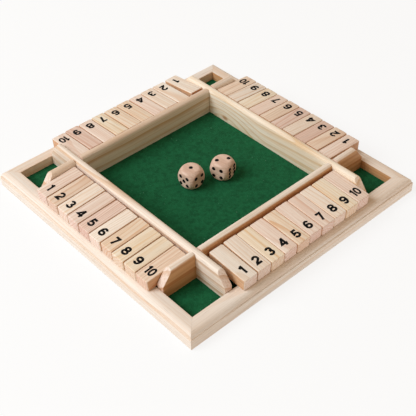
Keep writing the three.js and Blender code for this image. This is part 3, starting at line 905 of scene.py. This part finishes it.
def numeral_strokes():
    """Each numeral's width and strokes in a cell one high. A stroke is its middle line and whether that is a
    closed loop. Nine is six turned half round."""
    edge = 0.09
    top = 1.0 - edge
    six = [
        (bend((0.36, 0.315), (0.265, 0.225), 0, 360, 29)[:-1], True),
        (np.concatenate([bend((0.375, 0.50), (0.285, 0.41), 38, 180, 19), [(0.095, 0.34)]]), False),
    ]
    return {
        "0": (0.72, [(bend((0.36, 0.5), (0.265, 0.41), 0, 360, 33)[:-1], True)]),
        "1": (0.46, [
            (np.array([(0.34, 0.0), (0.34, 1.0)]), False),
            (np.array([(0.06, 0.745), (0.21, 0.79), (0.31, 0.91)]), False),
        ]),
        "2": (0.72, [(np.concatenate([
            bend((0.36, 0.66), (0.26, 0.25), 172, -32),
            [(0.42, 0.40), (0.19, 0.22), (0.115, edge), (0.67, edge)],
        ]), False)]),
        "3": (0.72, [
            (np.concatenate([bend((0.34, 0.705), (0.225, 0.205), 165, -75), [(0.30, 0.50)]]), False),
            (np.concatenate([[(0.30, 0.53)], bend((0.345, 0.305), (0.265, 0.215), 75, -165)]), False),
        ]),
        "4": (0.78, [
            (np.array([(0.54, 0.0), (0.54, 1.0)]), False),
            (np.array([(0.52, 0.95), (0.08, 0.285), (0.75, 0.285)]), False),
        ]),
        "5": (0.72, [(np.concatenate([
            [(0.62, top), (0.19, top), (0.135, 0.50)],
            bend((0.345, 0.33), (0.275, 0.24), 128, -162),
        ]), False)]),
        "6": (0.72, six),
        "7": (0.68, [(np.array([(0.05, top), (0.57, top), (0.26, 0.0)]), False)]),
        "8": (0.74, [
            (bend((0.37, 0.715), (0.235, 0.195), 0, 360, 27)[:-1], True),
            (bend((0.37, 0.30), (0.28, 0.215), 0, 360, 29)[:-1], True),
        ]),
        "9": (0.72, [(np.array([0.72, 1.0]) - line, loop) for line, loop in six]),
    }


def ribbon(line, loop, width):
    """The two edges of a stroke: each point goes half the width to either side along the mean of its
    neighbours' normals, longer by one over the cosine of half the turn, so the stroke keeps its width round
    corners."""
    step = np.diff(line, axis=0, append=line[:1]) if loop else np.diff(line, axis=0)
    step = step / np.linalg.norm(step, axis=1, keepdims=True)
    normal = np.stack([-step[:, 1], step[:, 0]], axis=-1)
    before = np.roll(normal, 1, axis=0) if loop else np.concatenate([normal[:1], normal])
    after = normal if loop else np.concatenate([normal, normal[-1:]])
    mean = before + after
    mean /= np.linalg.norm(mean, axis=1, keepdims=True)
    reach = width / 2 / np.clip((mean * after).sum(axis=1, keepdims=True), 0.5, 1.0)
    return line + mean * reach, line - mean * reach


def ink_film(name, strokes, to_place):
    """Each stroke is a closed slab: its two edges at the film's top and again at its foot, joined round. A
    loop joins its end to its start, and any other stroke has flat ends."""
    points, faces, start = [], [], 0
    for line, loop, width in strokes:
        left, right = ribbon(line, loop, width)
        count = len(left)
        rings = [(left, INK_PROUD), (right, INK_PROUD), (right, -INK_SUNK), (left, -INK_SUNK)]
        flat = [np.concatenate([ring, np.full((count, 1), height)], axis=1) for ring, height in rings]
        points.append(np.stack(flat, axis=1).reshape(-1, 3))
        along = grid_faces(count, 4, joined=True)
        if loop:
            joint = grid_faces(2, 4, joined=True)
            last = np.where(joint < 4, joint + 4 * (count - 1), joint - 4)
            along = np.concatenate([along, last])
            ends = []
        else:
            ends = [[start + shift + k for k in range(4)] for shift in (0, 4 * (count - 1))]
        faces += (along + start).tolist() + ends
        start += 4 * count
    return make_piece(name, to_place(np.concatenate(points)), faces, crease=40.0)


def stamping_ink():
    """Matt black ink, thinner in specks where the wood's fibres show through."""
    material, tree, surface = new_material("black ink")
    place = put(tree, "ShaderNodeTexCoord").outputs["Object"]
    speck = stretched_noise(tree, place, (2200.0, 2200.0, 2200.0), 2.0)
    colour = mix_colours(tree, ramp(tree, speck, 0.55, 0.8), INK_BLACK, INK_WORN)
    roughness = ramp(tree, speck, 0.3, 0.7, 0.6, 0.75)
    dull = {"Specular IOR Level": 0.08}
    lay_finish(tree, surface, colour, roughness, speck, relief=0.2, depth=0.00003, others=dull)
    return material


ink = stamping_ink()
strokes_of = numeral_strokes()
for (side, number), (rod, axes, low, high) in tile_lies.items():
    figures = str(int(number))
    squeeze, weight = (1.0, 1.0) if len(figures) == 1 else (PAIR_WIDTH, PAIR_STROKE)
    whole = sum(strokes_of[figure][0] for figure in figures) * squeeze + PAIR_GAP * (len(figures) - 1)
    at = -whole / 2
    strokes = []
    for figure in figures:
        width, lines = strokes_of[figure]
        for line, loop in lines:
            placed = (line * (squeeze, 1.0) + (at, -0.5)) * NUMERAL_HEIGHT
            strokes.append((placed, loop, NUMERAL_STROKE * weight))
        at += width * squeeze + PAIR_GAP
    along = low[1] + NUMERAL_FROM_END
    centre = rod + axes[0] * (low[0] + high[0]) / 2 + axes[1] * along + axes[2] * high[2]
    numeral = ink_film(f"numeral_{side}_{number}", strokes, lambda flat: centre + flat @ axes)
    numeral.data.materials.append(ink)
    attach(numeral, f"tile_{side}_{number}_body")

# The dice: two small hardwood cubes tumbled until their edges and corners are round, with shallow drilled
# pips painted black. They lie loose on the felt.

DIE_BALL = 0.010
DIE_BLEND = 42.0
PIP_SPREAD = 0.0032
PIP_RADIUS = 0.0014
PIP_DEPTH = 0.0004
# The paint fades over this share of a pip's radius, outside it
PIP_FADE = 0.2
PIP_BLACK = (0.005, 0.004, 0.004, 1)
DIE_PALE = (0.80, 0.59, 0.47)
DIE_DARK = (0.48, 0.26, 0.17)
DIE_PITH = (0.03, 0.01)
DIE_LEAN = 0.03
DIE_TRUNK_PLACE = 7.0
DICE = {
    "die_one": {"yaw": 6.0, "left": 5, "front": 4, "top": 1},
    "die_two": {"yaw": 16.4, "left": 4, "front": 6, "top": 2},
}


def pip_places(count):
    """Where a face's pips are, in spreads from its middle."""
    corners = [(-1, 1), (1, -1), (-1, -1), (1, 1)][: 2 * (count // 2)]
    middle = [(0, 0)] if count % 2 else []
    return corners + middle + ([(-1, 0), (1, 0)] if count == 6 else [])


def faces_of_die():
    """Each face's two axes and the way it looks: top, underside, front, back, left, right."""
    x, y, z = np.eye(3)
    return [(x, y, z), (x, -y, -z), (x, z, -y), (x, -z, y), (z, y, -x), (-z, y, x)]


def tumbled_die(name, faces, half, turn, centre, points=73):
    """Each face is a grid of directions d over a cube. The surface is at the smooth least of the distances to
    the cube, h over the largest part of d, and to the ball: the blend's root of one over the sum of one over
    each to the power of the blend. Within a pip it sinks by the depth times the root of one less the square
    of the distance over the radius. The mark "pip" is one in a pip. Points that faces share are merged."""
    line = np.tan(np.linspace(-1.0, 1.0, points) * np.pi / 4)
    u, v = np.meshgrid(line, line, indexing="ij")
    shells, marks, squares = [], [], []
    for number, (first, second, out) in enumerate(faces_of_die()):
        way = u[..., None] * first + v[..., None] * second + out
        way /= np.linalg.norm(way, axis=-1, keepdims=True)
        to_cube = half / np.abs(way).max(axis=-1)
        least = (to_cube**-DIE_BLEND + DIE_BALL**-DIE_BLEND) ** (-1 / DIE_BLEND)
        place = way * least[..., None]
        mark = np.zeros_like(least)
        for a, b in pip_places(faces[number]):
            off = np.hypot(place @ first - a * PIP_SPREAD, place @ second - b * PIP_SPREAD) / PIP_RADIUS
            mark = np.maximum(mark, np.clip((1 + PIP_FADE - off) / PIP_FADE, 0.0, 1.0))
            place -= (PIP_DEPTH * np.sqrt(np.clip(1 - off**2, 0.0, 1.0)))[..., None] * out
        squares.append(grid_faces(points, points) + number * points**2)
        shells.append(place.reshape(-1, 3))
        marks.append(mark.ravel())
    whole = np.concatenate(shells)
    _, keep, where = np.unique(np.round(whole * 1e7), axis=0, return_index=True, return_inverse=True)
    quads = where.ravel()[np.concatenate(squares)]
    die = make_piece(name, whole[keep] @ np.array(turn).T + np.array(centre), quads.tolist(), crease=60.0)
    pip = die.data.attributes.new("pip", "FLOAT", "POINT")
    pip.data.foreach_set("value", np.concatenate(marks)[keep])
    return die


def die_finish():
    """The pine figure in a pinker, closer wood, with duller black paint where the mark "pip" is one."""
    material = wood_finish(
        "dice wood", DIE_PALE, DIE_DARK, ring_width=0.0016, boldness=0.6, relief=0.25, gloss=0.5
    )
    tree = material.node_tree
    shader = next(node for node in tree.nodes if node.type == "BSDF_PRINCIPLED")
    pip = ramp(tree, lookup(tree, "pip"), 0.35, 0.65)
    wood = shader.inputs["Base Color"].links[0].from_socket
    tree.links.new(mix_colours(tree, pip, wood, PIP_BLACK), shader.inputs["Base Color"])
    tree.links.new(reckon(tree, "MULTIPLY_ADD", pip, -0.42, 0.5), shader.inputs["Specular IOR Level"])
    return material


dice_wood = die_finish()
for name, facts in DICE.items():
    low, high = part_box(name)
    half = (high.z - low.z) / 2
    # Opposite faces add up to seven
    shown = [pips for look in ("top", "front", "left") for pips in (facts[look], 7 - facts[look])]
    turn = Matrix.Rotation(np.radians(facts["yaw"]), 3, "Z")
    die = tumbled_die(f"wooden_{name}", shown, half, turn, (low + high) / 2)
    lay_grain(die, np.array(turn)[:, 1], np.array(turn)[:, 2], DIE_PITH, DIE_LEAN, DIE_TRUNK_PLACE)
    die.data.materials.append(dice_wood)
    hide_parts(name)
    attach(die, f"{name}_body")
